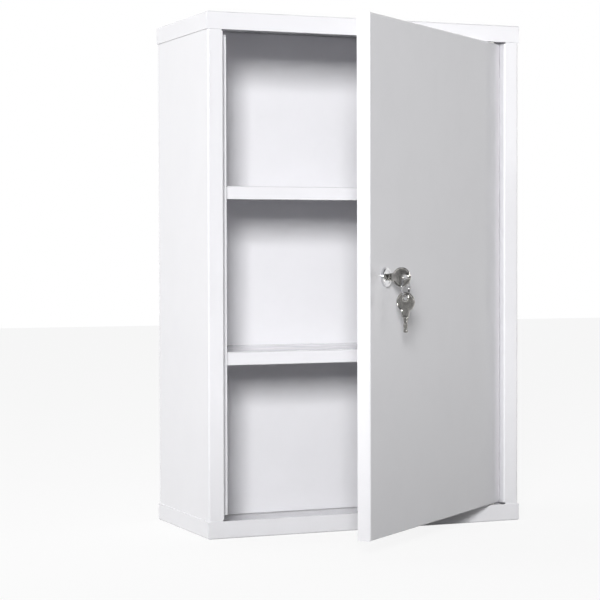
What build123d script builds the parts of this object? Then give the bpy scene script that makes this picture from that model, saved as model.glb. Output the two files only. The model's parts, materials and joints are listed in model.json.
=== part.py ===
from build123d import *
from math import cos, radians, sin, sqrt
import os

# Lockable medicine cabinet, folded from powder-coated sheet steel: a carcass of panels and caps with
# two fixed shelves, and a pan door on two pins, with a cam lock, its key, a split ring and a spare key.
#
# Frame: origin at the centre of the carcass's footprint, +X towards the hinge side, +Y towards the
# wall, +Z up. Millimetres and degrees. The door is modelled part open, with its key standing in the
# lock, as such a cabinet is shown.

os.makedirs("parts", exist_ok=True)

# ---------------------------------------------------------------- driving sizes: carcass
width = 400.0
depth = 178.0
height = 597.0
sheet = 1.0  # steel, all folded panels
fold_inside = 1.0  # inner radius of every fold
rim = 20.0  # frame seen round the opening, and the caps' rims on every side
rear_flange = 12.0
stop_lip = 9.0  # turned in behind the door's free edge, where the cam catches
jamb_notch = 2.0  # the jamb ends this far from the caps' rims
lip_notch = 4.5  # and its stop lip this far
corner_slit = 0.8  # open corner between two folded rims
shelf_lip = 15.0
shelf_hem = 6.0  # safe edge turned in under a shelf's lip
shelf_setback = 24.0  # shelf's lip behind the front of the side panels
wall_hole_diameter = 7.0
wall_hole_spacing_x = 300.0
wall_hole_spacing_z = 480.0

# ---------------------------------------------------------------- driving sizes: door and hinges
door_open_angle = 39.0
door_thickness = 15.0
door_side_gap = 2.0
door_end_gap = 1.5
door_lip = 10.0  # turned in round the open back of the pan
stop_gap = 0.5  # closed door to stop lip
pivot_inset = 14.0  # hinge axis to the door's hinge edge
stiffener_width = 50.0
stiffener_depth = 11.0
stiffener_flange = 14.0
stiffener_end_gap = 12.0
bracket_thickness = 2.0
bracket_width = 28.0
bracket_height = 15.0
bracket_reach = 8.0  # leaf behind the hinge axis
bracket_corner = 4.0
pin_diameter = 5.0
pin_head_diameter = 9.0
pin_head_height = 2.0
pin_reach = 8.0  # pin inside the door
pin_point = 0.8
bush_wall = 1.2
bush_flange_diameter = 12.0
bush_reach = 3.0  # bush inside the door
running_gap = 0.05  # radial, between parts that turn in one another
seat_gap = 0.3  # between a part and what it rests on

# ---------------------------------------------------------------- driving sizes: cam lock
lock_edge_distance = 36.0  # lock axis to the door's free edge
bezel_diameter = 21.0
bezel_height = 3.5
bezel_bevel = 1.5
barrel_diameter = 18.0
barrel_flats = 16.0
plug_diameter = 12.0
plug_head_diameter = 14.0
plug_head_height = 1.4
plug_recess = 0.4  # plug's face below the bezel's
cam_clearance = 0.4  # cam behind the stop lip
cam_thickness = 2.0
cam_length = 34.0
cam_arm_width = 12.0
cam_hub_diameter = 18.0
cam_square = 7.0
nut_flats = 22.0
nut_height = 4.0
screw_diameter = 4.0
screw_head_diameter = 8.0
screw_head_height = 2.8
screw_engagement = 4.0
washer_diameter = 10.0
washer_thickness = 1.0
wafer_count = 5
wafer_pitch = 2.3
wafer_first = 3.6  # first wafer behind the plug's face
wafer_width = 6.6
wafer_thickness = 0.8
wafer_window_gap = 0.45
wafer_groove_depth = 1.0

# ---------------------------------------------------------------- driving sizes: keys and ring
key_thickness = 2.0
key_bow_diameter = 21.0
key_hole_diameter = 5.0
key_hole_edge = 6.0  # hole's centre from the bow's far edge
key_neck_length = 6.0
key_neck_width = 9.5
key_blade_length = 16.0
key_blade_height = 5.2
key_tip_taper = 1.4
key_groove_width = 1.1
key_groove_depth = 0.5
cut_depths = (0.5, 0.9, 0.3, 0.8, 0.5)  # bitting, one cut for each wafer
cut_land = 0.9
keyway_gap = 0.1
ring_diameter = 20.5
ring_wire = 1.2  # square wire, two coils side by side

# ---------------------------------------------------------------- places worked out from the sizes
bend = fold_inside + sheet
panel_height = height - 2 * bend  # between the caps' folds
body_half_width = width / 2 - sheet
body_front = sheet - depth / 2
body_rear = depth / 2 - sheet
opening_half_width = width / 2 - rim
opening_bottom = rim
opening_top = height - rim
jamb_depth = door_thickness + stop_gap
compartment_height = (opening_top - opening_bottom - 2 * shelf_lip) / 3
lower_shelf_top = opening_bottom + compartment_height + shelf_lip
upper_shelf_top = lower_shelf_top + compartment_height + shelf_lip

door_width = 2 * (opening_half_width - door_side_gap)
door_bottom = opening_bottom + door_end_gap
door_height = opening_top - door_end_gap - door_bottom
pivot_x = opening_half_width - door_side_gap - pivot_inset
pivot_y = body_front + door_thickness / 2
door_along = Vector(cos(radians(door_open_angle)), sin(radians(door_open_angle)), 0)
door_outward = Vector(sin(radians(door_open_angle)), -cos(radians(door_open_angle)), 0)
door_centre_along = pivot_inset - door_width / 2

lock_height = height / 2
lock_along = pivot_inset - door_width + lock_edge_distance
lock_origin = (
    Vector(pivot_x, pivot_y, lock_height)
    + door_along * lock_along
    + door_outward * (door_thickness / 2)
)
cam_level = -(jamb_depth + sheet + cam_clearance)
plug_face = bezel_height - plug_recess
key_hole_reach = key_neck_length + key_bow_diameter - key_hole_edge
ring_radius = (ring_diameter - ring_wire) / 2
ring_top_drop = sqrt((key_hole_diameter / 2 - seat_gap) ** 2 - ring_wire**2) - ring_wire / 2
spare_hole_drop = 2 * (ring_top_drop + ring_radius)


# ---------------------------------------------------------------- frames of the door and the lock
def door_level(level):
    """Horizontal plane on the hinge axis, x along the door and y into the cabinet."""
    return Plane(origin=(pivot_x, pivot_y, level), x_dir=door_along, z_dir=(0, 0, 1))


def lock_level(outward):
    """Plane of the door's face through the lock's axis, z out of the door."""
    return Plane(origin=lock_origin + door_outward * outward, x_dir=door_along, z_dir=door_outward)


def hinge_section(level, up):
    """Upright plane on the hinge axis for turned parts, its y pointing away from the door."""
    return Plane(origin=(pivot_x, pivot_y, level), x_dir=(1, 0, 0), z_dir=(0, -up, 0))


lock_section = Plane(origin=lock_origin, x_dir=door_along, z_dir=(0, 0, -1))
lock_axis = Axis(lock_origin, door_outward)
hinge_axis = Axis((pivot_x, pivot_y, 0), (0, 0, 1))


# ---------------------------------------------------------------- shared shapes
def folded_section(plane, corners, thickness=sheet):
    """Section of a folded sheet: one face runs through the corners, the metal lies to its left."""
    with BuildSketch(plane) as section:
        with BuildLine():
            FilletPolyline(*corners, radius=fold_inside + thickness)
            offset(amount=thickness, side=Side.LEFT)
        make_face()
    return section.sketch


def turned_section(plane, corners):
    """Half section of a turned part: the corners are (radius, height) on the plane."""
    with BuildSketch(plane) as section:
        with BuildLine():
            Polyline(*corners, close=True)
        make_face()
    return section.sketch


def folded_tray(plane, length, breadth, drop):
    """Plate on the plane with four rims folded away from its normal, slit open at the corners."""
    with BuildPart() as tray:
        with BuildSketch(plane):
            Rectangle(length, breadth)
        extrude(amount=-drop)
        faces_outward = tray.faces().sort_by(Axis(plane.origin, plane.z_dir))
        fillet(faces_outward[-1].edges(), bend)
        open_side = tray.faces().sort_by(Axis(plane.origin, plane.z_dir))[0]
        offset(amount=-sheet, openings=open_side)
        with BuildSketch(plane.offset(-bend)):
            with GridLocations(length, breadth - 2 * sheet - corner_slit, 2, 2):
                Rectangle(4 * sheet, corner_slit)
        extrude(amount=bend - drop, mode=Mode.SUBTRACT)
    return tray


def side_panel(lip_corners):
    """Left side panel, folded from the rear flange round to the jamb; lip_corners ends the fold."""
    corners = [
        (rear_flange - body_half_width, body_rear),
        (-body_half_width, body_rear),
        (-body_half_width, body_front),
        (-opening_half_width, body_front),
        (-opening_half_width, body_front + jamb_depth),
    ]
    notch_width = bend + stop_lip + sheet
    with BuildPart() as panel:
        extrude(folded_section(Plane.XY.offset(bend), corners + lip_corners), amount=panel_height)
        for end, way in ((opening_bottom, -1), (opening_top, 1)):
            with BuildSketch(Plane.XY.offset(end - way * jamb_notch)):
                with Locations((-opening_half_width - bend, body_front)):
                    Rectangle(notch_width, depth / 2, align=(Align.MIN, Align.CENTER))
            extrude(amount=way * rim, mode=Mode.SUBTRACT)
            with BuildSketch(Plane.XY.offset(end - way * lip_notch)):
                with Locations((-opening_half_width, body_front)):
                    Rectangle(notch_width, depth / 2, align=(Align.MIN, Align.CENTER))
            extrude(amount=way * rim, mode=Mode.SUBTRACT)
    return panel


def shelf(top):
    """Folded tray between the side panels, with a safe edge under its front lip."""
    front = body_front + shelf_setback
    rear = body_rear - 2 * sheet
    breadth = rear - front
    plane = Plane(origin=(0, (front + rear) / 2, top), z_dir=(0, 0, 1))
    tray = folded_tray(plane, 2 * (body_half_width - sheet), breadth, shelf_lip)
    with BuildPart() as finished:
        add(tray.part)
        with BuildSketch(plane.offset(-shelf_lip)):
            with Locations((0, -breadth / 2)):
                hem_length = 2 * (body_half_width - 2 * sheet)
                Rectangle(hem_length, shelf_hem, align=(Align.CENTER, Align.MIN))
        extrude(amount=sheet)
    return finished


def hinge_bracket(level, up):
    """Folded angle behind a cap's rim; its leaf carries the hinge pin."""
    plane = Plane(origin=(pivot_x, 0, level), x_dir=(0, 1, 0), z_dir=(up, 0, 0))
    corners = [
        (body_front, bracket_height),
        (body_front, 0),
        (pivot_y + bracket_reach, 0),
    ]
    with BuildPart() as bracket:
        profile = folded_section(plane, corners, bracket_thickness)
        extrude(profile, amount=bracket_width / 2, both=True)
        free_corners = bracket.edges().filter_by(Axis.Z).group_by(Axis.Y)[-1]
        fillet(free_corners, bracket_corner)
        with BuildSketch(Plane.XY.offset(level)):
            with Locations((pivot_x, pivot_y)):
                Circle(pin_diameter / 2 + running_gap)
        extrude(amount=up * bracket_thickness, mode=Mode.SUBTRACT)
    return bracket


def hinge_pin(level, up):
    """Headed pin, dropped through the bracket's leaf into the door."""
    radius = pin_diameter / 2
    head_radius = pin_head_diameter / 2
    head_top = bracket_thickness + pin_head_height
    tip = -(door_end_gap + pin_reach)
    corners = [
        (0, head_top),
        (head_radius, head_top),
        (head_radius, bracket_thickness),
        (radius, bracket_thickness),
        (radius, tip + pin_point),
        (radius - pin_point, tip),
        (0, tip),
    ]
    with BuildPart() as pin:
        revolve(turned_section(hinge_section(level, up), corners), axis=hinge_axis)
    return pin


def hinge_bush(level, up):
    """Flanged nylon bush in the door's end return; its flange keeps the door off the bracket."""
    bore = pin_diameter / 2 + running_gap
    barrel = bore + bush_wall
    corners = [
        (bore, -seat_gap),
        (bush_flange_diameter / 2, -seat_gap),
        (bush_flange_diameter / 2, -door_end_gap),
        (barrel, -door_end_gap),
        (barrel, -(door_end_gap + sheet + bush_reach)),
        (bore, -(door_end_gap + sheet + bush_reach)),
    ]
    with BuildPart() as bush:
        revolve(turned_section(hinge_section(level, up), corners), axis=hinge_axis)
    return bush


def barrel_shape(plane, gap=0.0):
    """Round barrel with two flats, the shape of the lock's body and of its hole in the door."""
    with BuildSketch(plane) as shape:
        Circle(barrel_diameter / 2 + gap)
        Rectangle(barrel_flats + 2 * gap, 2 * barrel_diameter, mode=Mode.INTERSECT)
    return shape.sketch


def flat_key(plane):
    """Stamped key on a plane through its middle: x points from the shoulder to the tip."""
    bow_radius = key_bow_diameter / 2
    half_height = key_blade_height / 2
    with BuildPart() as key:
        with BuildSketch(plane):
            with Locations((-(key_neck_length + bow_radius), 0)):
                Circle(bow_radius)
            with Locations((-(key_neck_length + bow_radius / 2), 0)):
                neck_overlap = key_neck_length + bow_radius / 2
                Rectangle(neck_overlap, key_neck_width, align=(Align.MIN, Align.CENTER))
            with BuildLine():
                Polyline(
                    (-key_neck_length, half_height),
                    (key_blade_length - key_tip_taper, half_height),
                    (key_blade_length, half_height - key_tip_taper),
                    (key_blade_length, key_tip_taper - half_height),
                    (key_blade_length - key_tip_taper, -half_height),
                    (-key_neck_length, -half_height),
                    close=True,
                )
            make_face()
            with Locations((-key_hole_reach, 0)):
                Circle(key_hole_diameter / 2, mode=Mode.SUBTRACT)
            for index, cut in enumerate(cut_depths):
                middle = wafer_first + index * wafer_pitch
                for side in (1, -1):
                    with BuildLine():
                        Polyline(
                            (middle - cut_land / 2, side * (half_height - cut)),
                            (middle + cut_land / 2, side * (half_height - cut)),
                            (middle + cut_land / 2 + cut, side * half_height),
                            (middle - cut_land / 2 - cut, side * half_height),
                            close=True,
                        )
                    make_face(mode=Mode.SUBTRACT)
        extrude(amount=key_thickness / 2, both=True)
        for side in (1, -1):
            with BuildSketch(plane.offset(side * key_thickness / 2)):
                with Locations((-key_neck_length, 0)):
                    groove_length = key_neck_length + 2 * key_blade_length
                    Rectangle(groove_length, key_groove_width, align=(Align.MIN, Align.CENTER))
            extrude(amount=-side * key_groove_depth, mode=Mode.SUBTRACT)
    return key


def save(piece, name):
    """Label a finished piece and write it under its own name."""
    piece.part.label = name
    export_step(piece.part, f"parts/{name}.step")


# ---------------------------------------------------------------- carcass
save(folded_tray(Plane.XY.offset(height), width, depth, rim), "top_cap")
save(folded_tray(Plane(origin=(0, 0, 0), z_dir=(0, 0, -1)), width, depth, rim), "bottom_cap")

stop_lip_corner = (stop_lip - opening_half_width, body_front + jamb_depth)
save(side_panel([stop_lip_corner]), "left_side_panel")

with BuildPart() as right_side_panel:
    mirror(side_panel([]).part, about=Plane.YZ)
save(right_side_panel, "right_side_panel")

with BuildPart() as back_panel:
    with BuildSketch(Plane.XZ.offset(sheet - body_rear)):
        with Locations((0, height / 2)):
            Rectangle(2 * (body_half_width - bend), panel_height)
            with GridLocations(wall_hole_spacing_x, wall_hole_spacing_z, 2, 2):
                Circle(wall_hole_diameter / 2, mode=Mode.SUBTRACT)
    extrude(amount=sheet)
save(back_panel, "back_panel")

save(shelf(lower_shelf_top), "lower_shelf")
save(shelf(upper_shelf_top), "upper_shelf")

# ---------------------------------------------------------------- hinges
for name, level, up in (("upper", opening_top, 1), ("lower", opening_bottom, -1)):
    save(hinge_bracket(level, up), f"{name}_hinge_bracket")
    save(hinge_pin(level, up), f"{name}_hinge_pin")
    save(hinge_bush(level, up), f"{name}_hinge_bush")

# ---------------------------------------------------------------- door
with BuildPart() as door_pan:
    into_cabinet = Axis(door_level(0).origin, door_level(0).y_dir)
    with BuildSketch(door_level(door_bottom)):
        with Locations((door_centre_along, 0)):
            Rectangle(door_width, door_thickness)
    extrude(amount=door_height)
    fillet(door_pan.faces().sort_by(into_cabinet)[0].edges(), bend)
    offset(amount=-sheet, openings=door_pan.faces().sort_by(into_cabinet)[-1])
    lip_plane = lock_level(-door_thickness)
    lip_centre = (door_centre_along - lock_along, door_bottom + door_height / 2 - lock_height)
    with BuildSketch(lip_plane):
        with Locations(lip_centre):
            Rectangle(door_width - 2 * sheet, door_height - 2 * sheet)
            Rectangle(door_width - 2 * door_lip, door_height - 2 * door_lip, mode=Mode.SUBTRACT)
            with GridLocations(0, door_height - door_lip, 1, 2):
                mitre_gap = door_width - 2 * door_lip
                Rectangle(mitre_gap, door_lip + sheet, mode=Mode.SUBTRACT)
            with GridLocations(0, door_height - door_lip - sheet, 1, 2):
                Rectangle(mitre_gap - 2 * corner_slit, door_lip - sheet)
    extrude(amount=sheet)
    with BuildSketch(door_level(door_bottom - sheet)):
        Circle(pin_diameter / 2 + running_gap + bush_wall + running_gap)
    extrude(amount=door_height + 2 * sheet, mode=Mode.SUBTRACT)
    extrude(barrel_shape(lock_level(0), running_gap), amount=-2 * sheet, mode=Mode.SUBTRACT)
save(door_pan, "door_pan")

with BuildPart() as door_stiffener:
    web = sheet - door_thickness / 2
    crown = web + stiffener_depth
    half = stiffener_width / 2
    hat_corners = [
        (door_centre_along - half - stiffener_flange, web),
        (door_centre_along - half, web),
        (door_centre_along - half, crown),
        (door_centre_along + half, crown),
        (door_centre_along + half, web),
        (door_centre_along + half + stiffener_flange, web),
    ]
    foot = door_level(door_bottom + stiffener_end_gap)
    extrude(folded_section(foot, hat_corners), amount=door_height - 2 * stiffener_end_gap)
save(door_stiffener, "door_stiffener")

# ---------------------------------------------------------------- cam lock
wafer_levels = [plug_face - wafer_first - index * wafer_pitch for index in range(wafer_count)]

with BuildPart() as lock_body:
    with BuildSketch(lock_level(0)):
        Circle(bezel_diameter / 2)
    extrude(amount=bezel_height)
    chamfer(lock_body.faces().sort_by(lock_axis)[-1].edges(), bezel_bevel)
    barrel_length = -cam_level - running_gap
    extrude(barrel_shape(lock_level(0)), amount=-barrel_length)
    with BuildSketch(lock_level(bezel_height)):
        Circle(plug_head_diameter / 2 + running_gap)
    extrude(amount=-(plug_recess + plug_head_height + running_gap), mode=Mode.SUBTRACT)
    with BuildSketch(lock_level(bezel_height)):
        Circle(plug_diameter / 2 + running_gap)
    extrude(amount=-(bezel_height + barrel_length), mode=Mode.SUBTRACT)
    with BuildSketch(lock_level(-barrel_length)):
        groove_height = plug_diameter + 2 * wafer_groove_depth
        Rectangle(wafer_width + 4 * running_gap, groove_height)
    extrude(amount=barrel_length, mode=Mode.SUBTRACT)
save(lock_body, "lock_body")

with BuildPart() as lock_nut:
    with BuildSketch(lock_level(-sheet)):
        RegularPolygon(nut_flats / 2, 6, major_radius=False)
        Circle(barrel_diameter / 2 + running_gap, mode=Mode.SUBTRACT)
    extrude(amount=-nut_height)
save(lock_nut, "lock_nut")

with BuildPart() as lock_plug:
    plug_corners = [
        (0, plug_face),
        (plug_head_diameter / 2, plug_face),
        (plug_head_diameter / 2, plug_face - plug_head_height),
        (plug_diameter / 2, plug_face - plug_head_height),
        (plug_diameter / 2, cam_level),
        (0, cam_level),
    ]
    revolve(turned_section(lock_section, plug_corners), axis=lock_axis)
    with BuildSketch(lock_level(cam_level)):
        Rectangle(cam_square, cam_square)
    extrude(amount=-cam_thickness)
    with BuildSketch(lock_level(plug_face)):
        Rectangle(key_thickness + 2 * keyway_gap, key_blade_height + 2 * keyway_gap)
    extrude(amount=-(key_blade_length + seat_gap), mode=Mode.SUBTRACT)
    for level in wafer_levels:
        with BuildSketch(lock_level(level)):
            Rectangle(wafer_width + 2 * running_gap, 2 * plug_diameter)
        slot = wafer_thickness / 2 + running_gap
        extrude(amount=slot, both=True, mode=Mode.SUBTRACT)
    with BuildSketch(lock_level(cam_level - cam_thickness)):
        Circle(screw_diameter / 2 + running_gap)
    extrude(amount=screw_engagement + running_gap, mode=Mode.SUBTRACT)
save(lock_plug, "lock_plug")

with BuildPart() as lock_wafers:
    for level in wafer_levels:
        with BuildSketch(lock_level(level)):
            Circle(plug_diameter / 2)
            Rectangle(wafer_width, plug_diameter, mode=Mode.INTERSECT)
            window = 2 * wafer_window_gap
            Rectangle(key_thickness + window, key_blade_height + window, mode=Mode.SUBTRACT)
        extrude(amount=wafer_thickness / 2, both=True)
save(lock_wafers, "lock_wafers")

with BuildPart() as lock_cam:
    with BuildSketch(lock_level(cam_level)):
        Circle(cam_hub_diameter / 2)
        arm_length = cam_length - cam_arm_width / 2
        Rectangle(cam_arm_width, arm_length, align=(Align.CENTER, Align.MAX))
        with Locations((0, -arm_length)):
            Circle(cam_arm_width / 2)
        Rectangle(cam_square + 2 * running_gap, cam_square + 2 * running_gap, mode=Mode.SUBTRACT)
    extrude(amount=-cam_thickness)
save(lock_cam, "lock_cam")

cam_back = cam_level - cam_thickness
with BuildPart() as cam_washer:
    with BuildSketch(lock_level(cam_back)):
        Circle(washer_diameter / 2)
        Circle(screw_diameter / 2 + running_gap, mode=Mode.SUBTRACT)
    extrude(amount=-washer_thickness)
save(cam_washer, "cam_washer")

with BuildPart() as cam_screw:
    with BuildSketch(lock_level(cam_back - washer_thickness)):
        Circle(screw_head_diameter / 2)
    extrude(amount=-screw_head_height)
    with BuildSketch(lock_level(cam_back - washer_thickness)):
        Circle(screw_diameter / 2)
    extrude(amount=washer_thickness + screw_engagement)
save(cam_screw, "cam_screw")

# ---------------------------------------------------------------- keys
key_plane = Plane(
    origin=lock_origin + door_outward * plug_face,
    x_dir=-door_outward,
    z_dir=door_along,
)
save(flat_key(key_plane), "lock_key")

hole_centre = lock_origin + door_outward * (plug_face + key_hole_reach)
ring_centre = hole_centre - Vector(0, 0, ring_top_drop + ring_radius)

with BuildPart() as key_ring:
    ring_section = Plane(origin=ring_centre, x_dir=(0, 0, -1), z_dir=-door_along)
    with BuildSketch(ring_section):
        with Locations((ring_radius, 0)):
            Rectangle(ring_wire, 2 * ring_wire)
    revolve(axis=Axis(ring_centre, door_outward))
save(key_ring, "key_ring")

spare_shoulder = hole_centre - Vector(0, 0, spare_hole_drop + key_hole_reach)
spare_plane = Plane(origin=spare_shoulder, x_dir=(0, 0, -1), z_dir=door_along)
save(flat_key(spare_plane), "spare_key")
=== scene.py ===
# %% [markdown]
# # A lockable medicine cabinet
#
# The cabinet is a white case of folded sheet steel with two shelves. Its pan door stands part
# open, with a key in the cam lock and a spare key hanging from it on a split ring. All the solids
# come measured and placed from the imported model, so this lesson is about the rest: the studio,
# the finishes, and the small turned, threaded and coiled pieces that a plain solid leaves out.
#
# First the model is loaded, and its box is kept.

import json

import bmesh
import bpy
import numpy as np
from mathutils import Matrix, Vector


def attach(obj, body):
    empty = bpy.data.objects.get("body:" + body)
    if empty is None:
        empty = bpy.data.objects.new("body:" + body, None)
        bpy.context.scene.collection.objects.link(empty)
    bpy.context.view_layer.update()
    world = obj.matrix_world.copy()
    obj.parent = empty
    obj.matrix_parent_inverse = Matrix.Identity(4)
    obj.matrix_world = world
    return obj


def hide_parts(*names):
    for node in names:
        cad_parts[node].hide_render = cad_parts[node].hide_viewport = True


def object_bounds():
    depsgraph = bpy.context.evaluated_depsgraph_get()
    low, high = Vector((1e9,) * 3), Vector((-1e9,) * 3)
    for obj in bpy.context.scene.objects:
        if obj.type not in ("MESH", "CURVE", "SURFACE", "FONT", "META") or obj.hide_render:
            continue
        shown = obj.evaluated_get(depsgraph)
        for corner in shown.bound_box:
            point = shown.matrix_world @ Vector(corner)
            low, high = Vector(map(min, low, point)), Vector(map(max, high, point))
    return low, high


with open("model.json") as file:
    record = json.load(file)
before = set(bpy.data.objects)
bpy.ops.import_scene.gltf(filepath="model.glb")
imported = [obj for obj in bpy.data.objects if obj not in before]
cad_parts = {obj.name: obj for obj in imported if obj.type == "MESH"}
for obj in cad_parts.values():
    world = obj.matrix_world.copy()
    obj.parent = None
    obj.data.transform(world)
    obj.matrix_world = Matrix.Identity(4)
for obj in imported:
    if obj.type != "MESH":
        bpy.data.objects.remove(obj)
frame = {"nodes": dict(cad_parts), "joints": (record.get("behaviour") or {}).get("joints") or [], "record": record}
cad_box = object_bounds()
record = frame["record"]
joints = {joint["name"]: joint for joint in frame["joints"]}
rounded_box = [tuple(round(value, 4) for value in corner) for corner in cad_box]
print("nodes:", len(frame["nodes"]), "box:", rounded_box)

# %% [markdown]
# ## Where the picture is taken from
#
# A product photographer stands well back and uses a long lens, so that upright edges stay nearly
# parallel. The place, the turn and the focal length below were worked out by fitting the corners
# of the case to the picture's corners. They are written as a place and three angles in radians,
# and turned into a camera matrix whose columns are right, up and backwards.

# %% Camera
PICTURE_SIZE = 600
SENSOR_WIDTH = 36.0
focal_pixels = 1882.75
camera_place = Vector((-0.92537, -2.08642, 0.32370))
yaw, pitch, roll = 0.396647, 0.025727, -0.002446
optical_centre = (298.82, 301.99)

forward = Vector((np.sin(yaw) * np.cos(pitch), np.cos(yaw) * np.cos(pitch), -np.sin(pitch)))
level_right = Vector((np.cos(yaw), -np.sin(yaw), 0.0))
level_up = level_right.cross(forward)
camera_right = level_right * np.cos(roll) + level_up * np.sin(roll)
camera_up = level_up * np.cos(roll) - level_right * np.sin(roll)

camera_data = bpy.data.cameras.new("picture_camera")
camera_data.sensor_width = SENSOR_WIDTH
camera_data.lens = focal_pixels * SENSOR_WIDTH / PICTURE_SIZE
camera_data.shift_x = (PICTURE_SIZE / 2 - optical_centre[0]) / PICTURE_SIZE
camera_data.shift_y = (optical_centre[1] - PICTURE_SIZE / 2) / PICTURE_SIZE
camera_data.clip_end = 50.0
camera = bpy.data.objects.new("picture_camera", camera_data)
bpy.context.scene.collection.objects.link(camera)
turn = Matrix((camera_right, camera_up, -forward)).transposed()
camera.matrix_world = Matrix.Translation(camera_place) @ turn.to_4x4()
bpy.context.scene.camera = camera
bpy.context.scene.view_settings.view_transform = "Standard"
print("lens", round(camera_data.lens, 1), "mm")

# %% [markdown]
# ## Arithmetic for shaders
#
# Material nodes are sums written with boxes and wires. This small class keeps a socket and lets
# it be added, multiplied and mixed like a number, so a finish reads as a formula. Every other
# node comes from one method, which sets the node's own settings first and its sockets after.


# %% Shader arithmetic
class Value:
    """A socket with arithmetic: each operator adds one Math node."""

    def __init__(self, sheet, socket):
        self.sheet = sheet
        self.socket = socket

    def math(self, operation, *others):
        return self.sheet.node("ShaderNodeMath", {"operation": operation}, [self, *others])

    def __add__(self, other):
        return self.math("ADD", other)

    def __sub__(self, other):
        return self.math("SUBTRACT", other)

    def __rsub__(self, other):
        return (self * -1.0) + other

    def __mul__(self, other):
        return self.math("MULTIPLY", other)

    __radd__ = __add__
    __rmul__ = __mul__

    def between(self, low, high):
        """0 below low, 1 above high, and an eased ramp between them."""
        settings = {"interpolation_type": "SMOOTHSTEP"}
        links = {"Value": self, "From Min": low, "From Max": high}
        return self.sheet.node("ShaderNodeMapRange", settings, links)


class Finish:
    """A node tree under construction, for a material or for the world."""

    def __init__(self, owner):
        owner.use_nodes = True
        self.tree = owner.node_tree
        self.tree.nodes.clear()

    def node(self, kind, settings=None, links=None, output=0):
        made = self.tree.nodes.new(kind)
        for key, value in (settings or {}).items():
            setattr(made, key, value)
        pairs = links.items() if isinstance(links, dict) else enumerate(links or [])
        for key, value in pairs:
            if isinstance(value, Value):
                self.tree.links.new(value.socket, made.inputs[key])
            else:
                made.inputs[key].default_value = value
        return Value(self, made.outputs[output]) if made.outputs else None

    def place(self):
        """The surface point in metres."""
        return self.node("ShaderNodeTexCoord", output="Object")

    def ray_kinds(self):
        """Three switches, 1 for a ray of their kind: seen, mirrored, and seen through."""
        kinds = ("Is Camera Ray", "Is Glossy Ray", "Is Transmission Ray")
        return [self.node("ShaderNodeLightPath", output=kind) for kind in kinds]

    def noise(self, point, size, detail=2.0, roughness=0.5):
        """Noise whose lumps are about size metres wide."""
        links = {"Vector": point, "Scale": 1.0 / size, "Detail": detail, "Roughness": roughness}
        return self.node("ShaderNodeTexNoise", {}, links)

    def blend(self, factor, first, second):
        """Mix of two colours."""
        settings = {"data_type": "RGBA"}
        return self.node("ShaderNodeMix", settings, {0: factor, 6: first, 7: second}, output=2)

    def bump(self, height, distance, normal=None):
        """Normal of a surface raised by height times distance, in metres, over another's."""
        links = {"Height": height, "Distance": distance, "Strength": 1.0}
        if normal is not None:
            links["Normal"] = normal
        return self.node("ShaderNodeBump", {}, links)

    def surface(self, **links):
        """Principled shader into the output; the keywords are its sockets, with _ for a space."""
        named = {key.replace("_", " "): value for key, value in links.items()}
        shader = self.node("ShaderNodeBsdfPrincipled", {}, named)
        self.node("ShaderNodeOutputMaterial", {}, {"Surface": shader})


def new_material(name):
    material = bpy.data.materials.new(name)
    return material, Finish(material)


# %% [markdown]
# ## The studio
#
# The picture shows a white case in front of white. The shadow under each shelf runs level and has
# a soft edge about as wide as a hand is thick, and the light is equally bright on the left and
# the right of the case. So the key light is a soft box nearly four metres away, at the camera's
# left and a little above it. It hardly reaches the open door, so a second, small and weak box
# lights the door from the right. The left side of the case is as bright as its front, so the
# backdrop behind is lit too and wraps round.
#
# The world plays the backdrop. A camera sees it plain white. Shiny things see a white backdrop
# behind the cabinet and a dim room behind the photographer, which is what draws the dark edges on
# polished metal. For the other rays it is a light, strongest from behind and from the left. It is
# dimmed overhead, so that the top of the case doesn't burn out when it is seen from above.

# %% World
world = bpy.data.worlds.new("studio")
bpy.context.scene.world = world
studio = Finish(world)
direction = studio.node("ShaderNodeTexCoord", output="Generated")
across, along, above = [
    studio.node("ShaderNodeSeparateXYZ", {}, [direction], output=axis) for axis in "XYZ"
]
WHITE = (1.0, 1.0, 1.0, 1.0)
dim_room = (0.05, 0.05, 0.055, 1.0)
backdrop_glow = 3.05
overhead_dimming = 0.85
mirrored = studio.blend(along.between(-0.3, 0.3), dim_room, WHITE)
behind_left = (along * 0.87 - across * 0.5).between(0.0, 0.8)
room_glow = behind_left * backdrop_glow * (1.0 - above.between(0.2, 0.8) * overhead_dimming)
is_camera, is_glossy, is_through = studio.ray_kinds()
is_mirrored = is_glossy.math("MAXIMUM", is_through)
room_light, mirror_light, white_light = [
    studio.node("ShaderNodeBackground", {}, {"Color": colour, "Strength": strength})
    for colour, strength in ((WHITE, room_glow), (mirrored, 1.0), (WHITE, 1.0))
]
shiny = studio.node("ShaderNodeMixShader", {}, [is_mirrored, room_light, mirror_light])
mixed = studio.node("ShaderNodeMixShader", {}, [is_camera, shiny, white_light])
studio.node("ShaderNodeOutputWorld", {}, {"Surface": mixed})

# %% [markdown]
# An area light is set by where it stands, what it faces and how bright its face is. Brightness
# is given as radiance, so that a box can be made larger or smaller without the object changing
# its own colour: the power that Blender wants is radiance times area times pi.
#
# In the picture the light fades towards the floor. A photographer does that with a flag, a black
# card on a stand that hides the lower part of the lamp from the lower part of the subject. The
# card here is hidden from the camera and only casts its soft shade. Its top edge slopes, higher at
# the right end.


# %% Soft box and flag
def soft_box(name, place, target, size, radiance):
    """Rectangular light at place, facing target; power = radiance x width x height x pi."""
    light = bpy.data.lights.new(name, "AREA")
    light.shape = "RECTANGLE"
    light.size, light.size_y = size
    light.energy = radiance * size[0] * size[1] * np.pi
    lamp = bpy.data.objects.new(name, light)
    bpy.context.scene.collection.objects.link(lamp)
    turned_to_target = (Vector(target) - Vector(place)).to_track_quat("-Z", "Y")
    lamp.matrix_world = Matrix.Translation(place) @ turned_to_target.to_matrix().to_4x4()


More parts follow.
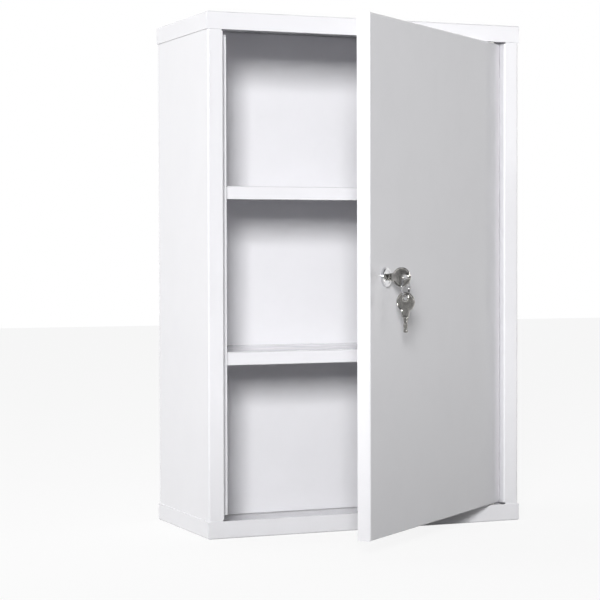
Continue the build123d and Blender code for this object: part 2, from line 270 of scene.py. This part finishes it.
def stage_card(name, corners, material):
    """Flat card for the studio, which isn't part of the cabinet."""
    mesh = bpy.data.meshes.new(name)
    mesh.from_pydata(corners, [], [tuple(range(len(corners)))])
    mesh.materials.append(material)
    card = bpy.data.objects.new(name, mesh)
    bpy.context.scene.collection.objects.link(card)
    return card


lamp_bearing = Vector((-0.4376, -0.8992, 0.0))
soft_box("far_soft_box", (-1.67, -3.33, 1.16), (0.0, 0.085, 0.3), (0.72, 0.82), 83.0)
soft_box("door_soft_box", (0.62, -0.93, 0.66), (0.05, -0.23, 0.45), (0.50, 0.40), 2.2)
flag_distance, flag_half_width, flag_height, flag_slope = 2.0, 1.2, 0.48, 0.10
flag_middle = lamp_bearing * flag_distance
flag_side = Vector((-lamp_bearing.y, lamp_bearing.x, 0.0)) * flag_half_width
flag_feet = [flag_middle - flag_side, flag_middle + flag_side]
black_cloth, cloth = new_material("black_cloth")
black = cloth.node("ShaderNodeBsdfDiffuse", {}, {"Color": (0.01, 0.01, 0.01, 1.0)})
cloth.node("ShaderNodeOutputMaterial", {}, {"Surface": black})
flag_rise = flag_side.length * flag_slope
flag_tops = [
    flag_feet[1] + Vector((0.0, 0.0, flag_height + flag_rise)),
    flag_feet[0] + Vector((0.0, 0.0, flag_height - flag_rise)),
]
flag = stage_card("flag", flag_feet + flag_tops, black_cloth)
flag.visible_camera = False
print("flag stands", round(flag_middle.length, 2), "m away and is", flag_height, "m high")

# %% [markdown]
# The floor is near white where it is seen, straight or in a mirror, and most of that white is its
# own glow, which keeps a little of the shadow. For the light that bounces about it is a dark
# grey, so that it throws little light up under the shelves.

# %% Floor
floor_half = 6.0
shown_glow = 0.88
floor_corners = [
    (x * floor_half, y * floor_half, 0) for x, y in ((-1, -1), (1, -1), (1, 1), (-1, 1))
]
floor_paint, sweep = new_material("white_sweep")
seen, mirror, through = sweep.ray_kinds()
shown = seen.math("MAXIMUM", mirror).math("MAXIMUM", through)
sweep_tone = sweep.blend(shown, (0.36, 0.36, 0.36, 1.0), (0.92, 0.92, 0.92, 1.0))
matt = sweep.node("ShaderNodeBsdfDiffuse", {}, {"Color": sweep_tone})
glow = sweep.node("ShaderNodeEmission", {}, {"Color": WHITE, "Strength": 1.0})
floor_mix = sweep.node("ShaderNodeMixShader", {}, [shown * shown_glow, matt, glow])
sweep.node("ShaderNodeOutputMaterial", {}, {"Surface": floor_mix})
stage_card("floor", floor_corners, floor_paint)

# %% [markdown]
# ## White powder coat
#
# Powder is sprayed dry on the folded steel and melted in an oven. It comes out a clean, slightly
# cool white with a satin shine. Close up it is never flat: it shrinks into a fine orange peel
# about a millimetre across, on top of the long, faint waves of the sheet itself. Both go into
# bump. The gloss varies a little too, as it does on a case that has been handled.

# %% Powder coat
powder_coat, coat = new_material("white_powder_coat")
point = coat.place()
orange_peel = coat.noise(point, 0.0016, detail=1.0)
sheet_waves = coat.noise(point, 0.09, detail=1.0)
handling = coat.noise(point, 0.05, detail=4.0, roughness=0.65).between(0.42, 0.68)
clean_coat, handled_coat = (0.772, 0.769, 0.793, 1.0), (0.752, 0.749, 0.773, 1.0)
peel_bump = coat.bump(orange_peel, 0.00004)
coat_normal = coat.bump(sheet_waves, 0.0006, normal=peel_bump)
coat.surface(
    Base_Color=coat.blend(handling * 0.5, clean_coat, handled_coat),
    Roughness=handling * 0.05 + 0.13,
    Normal=coat_normal,
)

# %% [markdown]
# ## Plated metals and nylon
#
# The lock's face is polished and chrome plated, the keys are tumbled and nickel plated, and the
# parts behind the door are zinc plated and duller. All are metals, so their colour is the colour
# of their reflections. What tells them apart is their tone, their gloss and how coarse and deep
# their random scratches are.


# %% Metals
def plated(name, colour, dark, gloss, scratch_size, scratch_depth):
    """Metal with a faint cloudiness between two tones, and scratches that also feed its gloss."""
    material, finish = new_material(name)
    point = finish.place()
    cloud = finish.noise(point, 0.004, detail=3.0).between(0.35, 0.7)
    scratched = finish.noise(point, scratch_size, detail=3.0, roughness=0.7)
    finish.surface(
        Base_Color=finish.blend(cloud, (*colour, 1.0), (*dark, 1.0)),
        Metallic=1.0,
        Roughness=scratched.between(0.45, 0.75) * 0.12 + gloss,
        Normal=finish.bump(scratched, scratch_depth),
    )
    return material


chrome = plated("lock_chrome", (0.78, 0.78, 0.79), (0.66, 0.66, 0.68), 0.07, 0.0012, 0.000008)
nickel = plated("key_nickel", (0.50, 0.49, 0.465), (0.33, 0.325, 0.31), 0.13, 0.0007, 0.00002)
ring_steel = plated("ring_steel", (0.56, 0.56, 0.57), (0.42, 0.42, 0.43), 0.14, 0.0006, 0.00001)
zinc = plated("zinc_plated_steel", (0.66, 0.67, 0.69), (0.54, 0.56, 0.60), 0.28, 0.0010, 0.00001)
brass = plated("wafer_brass", (0.80, 0.62, 0.30), (0.66, 0.48, 0.20), 0.25, 0.0008, 0.00001)

nylon, plastic = new_material("white_nylon")
moulding = plastic.noise(plastic.place(), 0.0009, detail=2.0)
plastic.surface(
    Base_Color=plastic.blend(moulding, (0.80, 0.79, 0.75, 1.0), (0.86, 0.85, 0.81, 1.0)),
    Roughness=moulding * 0.1 + 0.42,
    Subsurface_Weight=0.15,
    Subsurface_Radius=(0.002, 0.002, 0.002),
    Normal=plastic.bump(moulding, 0.00002),
)

# %% Dress the measured pieces
finishes = {
    "white_powder_coat": powder_coat,
    "white_nylon": nylon,
    "zinc_plated_steel": zinc,
    "lock_chrome": chrome,
    "wafer_brass": brass,
    "key_nickel": nickel,
    "ring_steel": ring_steel,
}
for part in record["subparts"]:
    node = frame["nodes"][part["node"]]
    node.data.materials.clear()
    node.data.materials.append(finishes[part["material_slot"]])
print("dressed", len(record["subparts"]), "nodes in", len(finishes), "finishes")

# %% [markdown]
# ## Pieces drawn by formula
#
# Some small pieces say more than a plain solid can: the coiled ring, the stamped keys, the
# threaded lock with its nut, and the screw behind it. None is modelled by hand. Each is a formula
# that gives a point for every pair of numbers, how far along and how far round, worked out for
# the whole grid at once. The next cell turns such a grid into a mesh. It also says which moving
# body the piece rides on, which plain solid it stands in for, and what finish it wears.


# %% From a grid of points to a piece
def skin(name, grid, body, node, rows_closed=True, smooth_below=38.0):
    """Closed mesh over a (rows, columns, 3) grid of points in metres, in place of a plain node.

    Every point is joined to its neighbours in the next row and the next column. Columns always
    close into a loop. Rows close too, or they end in rows of equal points, which are merged.
    """
    rows, columns = grid.shape[:2]
    number = np.arange(rows * columns).reshape(rows, columns)
    beyond = np.roll(number, -1, axis=0)
    beside, diagonal = np.roll(number, -1, axis=1), np.roll(beyond, -1, axis=1)
    faces = np.stack([number, beside, diagonal, beyond], axis=-1)
    faces = faces if rows_closed else faces[:-1]
    mesh = bpy.data.meshes.new(name)
    mesh.from_pydata(grid.reshape(-1, 3).tolist(), [], faces.reshape(-1, 4).tolist())
    shell = bmesh.new()
    shell.from_mesh(mesh)
    bmesh.ops.remove_doubles(shell, verts=shell.verts, dist=1e-6)
    bmesh.ops.dissolve_degenerate(shell, dist=1e-7, edges=shell.edges)
    bmesh.ops.recalc_face_normals(shell, faces=shell.faces)
    shell.to_mesh(mesh)
    shell.free()
    mesh.shade_smooth()
    mesh.set_sharp_from_angle(angle=np.radians(smooth_below))
    slot = next(part["material_slot"] for part in record["subparts"] if part["node"] == node)
    mesh.materials.append(finishes[slot])
    piece = bpy.data.objects.new(name, mesh)
    bpy.context.scene.collection.objects.link(piece)
    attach(piece, body)
    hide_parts(node)
    print(name, "has", len(mesh.polygons), "faces and rides on", body)


def ease(value, low, high):
    """0 below low, 1 above high, and the cubic 3t^2 - 2t^3 between them, for whole arrays."""
    share = np.clip((value - low) / (high - low), 0.0, 1.0)
    return share * share * (3.0 - 2.0 * share)


def squarish(value, power):
    """A sine or cosine raised to a power below 1, which swells a circle towards a square."""
    return np.sign(value) * np.abs(value) ** power


def full_circle(columns):
    """Equal angles round a circle, the last one short of the first."""
    return np.arange(columns) * 2.0 * np.pi / columns


# %% [markdown]
# The lock's pieces are measured from the door's outer face. The joints already know where that
# is and which way the lock points, so the formulas borrow their places and axes from them.

# %% Where the lock and the keys are
MM = 0.001
lock_place = np.array(joints["lock_turn"]["pos_m"])
hole_place = np.array(joints["ring_swing"]["pos_m"])
ring_place = np.array(joints["spare_key_travel"]["pos_m"])
outward = np.array(joints["key_pull"]["axis"], dtype=float)
upward = np.array((0.0, 0.0, 1.0))
sideways = np.cross(upward, outward)
hole_drop = 2.0 * (hole_place[2] - ring_place[2]) / MM
print("ring hangs", round(hole_drop / 2, 2), "mm below the key's hole")


def around(centre, radius, angle, level):
    """Points about an axis through centre that points outward, from arrays in mm and radians."""
    across = radius * np.cos(angle)
    above = radius * np.sin(angle)
    place = across[..., None] * sideways + above[..., None] * upward + level[..., None] * outward
    return centre + place * MM


# %% [markdown]
# ### The turned pieces
#
# A lathe makes the lock body: a profile, turned about an axis. Two things are added to a plain
# turned surface. A screw thread is a triangle wave in the radius, which moves along by one pitch
# for each turn. And the barrel has two flats, so its radius is never more than the flat's
# distance over the cosine of the angle. The nut uses the same idea with six flats, and a cone
# that cuts off its corners.


# %% Turned surfaces
def turned(profile, columns, radius_limit=None, thread=None):
    """Grid of a surface turned about the lock's axis.

    The profile is a closed list of (level, radius) in mm, the level being measured outward from
    the door's face. The radius at angle a is the smaller of the profile's and radius_limit(a,
    level). A thread, given as (first level, last level, pitch, depth), takes depth times a
    triangle wave of (level / pitch - a / turn) off the radius.
    """
    level, radius = np.array(profile, dtype=float).T
    level, angle = np.meshgrid(level, full_circle(columns), indexing="ij")
    radius = np.repeat(radius[:, None], columns, axis=1)
    if thread:
        first, last, pitch, depth = thread
        wave = np.abs(((level / pitch - angle / (2.0 * np.pi)) % 1.0) * 2.0 - 1.0)
        inside = (level < first) & (level > last) & (radius > radius.max() * 0.5)
        radius = radius - np.where(inside, depth * wave, 0.0)
    if radius_limit:
        radius = np.minimum(radius, radius_limit(angle, level))
    return around(lock_place, radius, angle, level)


def arc(centre_level, centre_radius, size, start, stop, count):
    """Points of a quarter-round edge in a profile, from one angle to another in degrees."""
    turn = np.radians(np.linspace(start, stop, count))
    return list(zip(centre_level + size * np.sin(turn), centre_radius + size * np.cos(turn)))


# %% Lock body
bezel_height, bezel_radius, bezel_round = 3.5, 10.5, 1.1
barrel_radius, barrel_end, barrel_flat, bore_radius = 9.0, -16.85, 8.0, 6.05
recess_floor, recess_radius = 1.65, 7.05
thread_pitch, thread_depth = 1.0, 0.45
thread_levels = np.arange(-0.6, barrel_end + 0.5, -0.1)
barrel = [(level, barrel_radius) for level in thread_levels]
lock_profile = (
    [(barrel_end, bore_radius), (recess_floor, bore_radius)]
    + [(recess_floor, recess_radius), (3.1, recess_radius)]
    + arc(3.3, 7.3, 0.2, 180, 90, 4)
    + arc(bezel_height - bezel_round, bezel_radius - bezel_round, bezel_round, 90, 0, 9)
    + [(0.25, bezel_radius), (0.0, bezel_radius - 0.25)]
    + [(0.0, barrel_radius), (-0.5, barrel_radius)]
    + barrel
    + [(barrel_end, barrel_radius - 0.55)]
)


def two_flats(angle, level):
    """Flats 16 mm apart across the barrel; the bezel in front of the door stays round."""
    flat = barrel_flat / np.maximum(np.abs(np.cos(angle)), 1e-6)
    return np.where(level < 0.0, flat, 1e3)


lock_thread = (-0.8, barrel_end + 0.4, thread_pitch, thread_depth)
lock_grid = turned(lock_profile, 144, two_flats, lock_thread)
skin("lock_body_threaded", lock_grid, "door", "lock_body")

# %% Nut
nut_front, nut_back, nut_flat, nut_bore, nut_corner = -1.0, -5.0, 11.0, 9.05, 12.75
nut_levels = np.linspace(nut_front, nut_back, 15)
nut_profile = [(nut_back, nut_bore), (nut_front, nut_bore)]
nut_profile += [(level, nut_corner) for level in nut_levels]


def six_flats(angle, level):
    """Hexagon, cut near both faces by a 30 degree cone that takes off the corners."""
    sixth = np.pi / 3.0
    hexagon = nut_flat / np.cos((angle + sixth / 2.0) % sixth - sixth / 2.0)
    depth = np.minimum(nut_front - level, level - nut_back)
    cone = nut_flat + depth / np.tan(np.radians(30.0))
    return np.minimum(hexagon, cone)


skin("lock_nut_chamfered", turned(nut_profile, 144, six_flats), "door", "lock_nut")

# %% [markdown]
# The screw's head is the one turned face with something cut into it: a cross for the driver. Its
# height is a shallow dome, less the cross. The cross is deep where the point lies near either
# axis, and its depth fades outward because the driver is pointed.

# %% Cam screw
screw_seat, head_height, head_radius, shank_radius, shank_end = -19.9, 2.8, 4.0, 2.0, -15.0


def screw_head_height(angle, radius):
    """Height of the head over its seat: a dome, less a cross about 1 mm wide that shallows."""
    crown = np.sqrt(np.maximum(0.0, 1.0 - (radius / head_radius) ** 2))
    dome = head_height * (0.62 + 0.38 * crown)
    nearer_arm = np.minimum(np.abs(radius * np.cos(angle)), np.abs(radius * np.sin(angle)))
    arm = 1.0 - ease(nearer_arm, 0.42, 0.55)
    depth = 1.7 * (1.0 - ease(radius, 0.4, 2.6))
    return dome - arm * depth


def screw_grid(columns=96):
    """Rows run from the shank's end out to the head's edge, and over its face to the middle."""
    angle = full_circle(columns)
    point_size = 0.5
    shank = [(shank_end, 0.0), (shank_end, shank_radius - point_size)]
    shank += [(shank_end - point_size, shank_radius), (screw_seat, shank_radius)]
    shank += [(screw_seat, head_radius)]
    level, radius = np.array(shank).T
    face_radius = np.linspace(head_radius, 0.0, 34)
    level_rows = np.repeat(level[:, None], columns, axis=1)
    radius_rows = np.repeat(radius[:, None], columns, axis=1)
    face_radii, face_angles = np.meshgrid(face_radius, angle, indexing="ij")
    face_levels = screw_seat - screw_head_height(face_angles, face_radii)
    level_all = np.vstack([level_rows, face_levels])
    radius_all = np.vstack([radius_rows, face_radii])
    return around(lock_place, radius_all, angle, level_all)


skin("cam_screw_cross", screw_grid(), "plug", "cam_screw", rows_closed=False)

# %% [markdown]
# ### The split ring
#
# A key ring is one wire wound twice. The two turns lie side by side, and once on the way the wire
# steps over from one side to the other, just where its own ends leave room for the step. So the
# path is a circle run through almost twice, with an eased step in the middle. The section is a
# rounded square, because the wire is drawn flat where the turns touch.

# %% Split ring
wire, coil_gap, ring_radius = 1.2, 0.04, 9.65
step_angle, wire_start = np.radians(17.0), np.radians(205.0)


def split_ring_grid(stations=300, columns=20):
    """Wire swept along a double circle: a rounded square section, closed by shrinking ends."""
    share = np.linspace(0.0, 1.0, stations)
    turn = step_angle + share * (4.0 * np.pi - 2.0 * step_angle)
    side = (ease(turn, 2.0 * np.pi - step_angle, 2.0 * np.pi + step_angle) - 0.5) * wire
    end = np.minimum(share, 1.0 - share) * (4.0 * np.pi * ring_radius)
    closing = np.sqrt(np.clip(end / 0.35, 0.0, 1.0))
    half_wire = closing[:, None] * (wire / 2 - coil_gap / 2)
    section = full_circle(columns)
    radial = ring_radius + half_wire * squarish(np.cos(section), 0.55)
    axial = side[:, None] + half_wire * squarish(np.sin(section), 0.55)
    return around(ring_place, radial, (turn + wire_start)[:, None], axial)


skin("split_ring", split_ring_grid(), "ring", "key_ring", rows_closed=False)

# %% [markdown]
# ### The keys
#
# A cheap key is stamped from sheet and then coined, so its face is not flat: a raised rim runs
# round the bow and another round the hole, and the blade has a milled groove on each side of its
# middle. The bow is a surface spread out from its hole. Every direction from the hole meets the
# outline once, so the angle is one parameter and the way from the hole to the outline and back on
# the other face is the other. The blade is a row of cross-sections from the neck to the tip.


# %% Key surfaces
key_hole, bow_radius, hole_offset, key_half, rim_rise = 2.5, 10.5, 4.5, 0.76, 0.22
key_shoulder, key_tip, blade_half = 21.0, 37.0, 2.6
first_cut, cut_pitch, cut_half, cut_depths = 3.6, 2.3, 0.45, (0.5, 0.9, 0.3, 0.8, 0.5)


def bow_grid(columns=180, rows=46):
    """Bow and neck in the key's own axes, x from the hole to the tip, y up, z out of the face.

    The outline is the larger of a circle and a tapering neck, blended by a power mean. Half the
    thickness is 0.76 mm, plus 0.22 mm on two rims, and falls off as a quarter-round at each edge.
    """
    angle = full_circle(columns)
    chord = np.sqrt(bow_radius**2 - (hole_offset * np.sin(angle)) ** 2)
    bow = hole_offset * np.cos(angle) + chord
    neck_side = 6.3 / np.maximum(np.abs(np.sin(angle)) + 0.13 * np.cos(angle), 1e-6)
    neck_end = key_shoulder / np.maximum(np.cos(angle), 1e-6)
    neck = np.where(np.cos(angle) > 0.0, np.minimum(neck_side, neck_end), 0.0)
    outline = np.minimum((bow**28 + neck**28) ** (1.0 / 28.0), np.maximum(bow, neck) + 0.25)
    way = (1.0 - np.cos(np.linspace(0.0, np.pi, rows))) / 2.0
    from_hole = way[:, None] * (outline - key_hole)
    to_edge = (1.0 - way)[:, None] * (outline - key_hole)
    rims = ease(from_hole, 0.1, 0.5) * (1.0 - ease(from_hole, 1.1, 1.6))
    rims = rims + ease(to_edge, 0.1, 0.5) * (1.0 - ease(to_edge, 1.1, 1.7))
    half = key_half + rim_rise * np.clip(rims, 0.0, 1.0)
    edge = np.clip(np.minimum(from_hole, to_edge) / rim_rise, 0.0, 1.0)
    half = half - rim_rise + rim_rise * np.sqrt(1.0 - (1.0 - edge) ** 2)
    radius = key_hole + from_hole
    face = np.stack([radius * np.cos(angle), radius * np.sin(angle), half], axis=-1)
    back = face[::-1] * np.array((1.0, 1.0, -1.0))
    return np.concatenate([face, back])


def blade_grid(stations=150, columns=48):
    """Blade from inside the neck to the tip: half height from the cuts, and two milled grooves."""
    along = np.linspace(key_shoulder - 0.4, key_tip, stations)
    from_shoulder = along - key_shoulder
    height = blade_half - ease(from_shoulder, 14.6, 16.0) * 1.2
    for number, depth in enumerate(cut_depths):
        off_middle = np.abs(from_shoulder - (first_cut + cut_pitch * number)) - cut_half
        cut = np.clip(depth - np.maximum(off_middle, 0.0), 0.0, None)
        height = np.minimum(height, blade_half - cut)
    end = np.minimum(along - along[0], along[-1] - along)
    closing = np.sqrt(1.0 - (1.0 - np.clip(end / 0.4, 0.0, 1.0)) ** 2)
    section = full_circle(columns)
    y = (height * closing)[:, None] * squarish(np.cos(section), 0.6)
    groove = np.exp(-(((np.abs(y) - 1.05) / 0.36) ** 2))
    z = closing[:, None] * (0.92 - 0.42 * groove) * squarish(np.sin(section), 0.35)
    x = np.repeat(along[:, None], columns, axis=1)
    return np.stack([x, y, z], axis=-1)


def place_key(grid, hole, to_tip):
    """The key's own axes, in mm, turned and moved into place."""
    axes = np.array([to_tip, np.cross(sideways, to_tip), sideways])
    return hole + (grid @ axes) * MM


def make_key(name, body, node, hole, to_tip):
    """A key is two closed pieces: the bow, and the blade whose root lies inside the bow's neck."""
    skin(name + "_bow", place_key(bow_grid(), hole, to_tip), body, node)
    blade = place_key(blade_grid(), hole, to_tip)
    skin(name + "_blade", blade, body, node, rows_closed=False)


spare_hole = hole_place - upward * hole_drop * MM
make_key("lock_key", "key", "lock_key", hole_place, -outward)
make_key("spare_key", "spare", "spare_key", spare_hole, -upward)
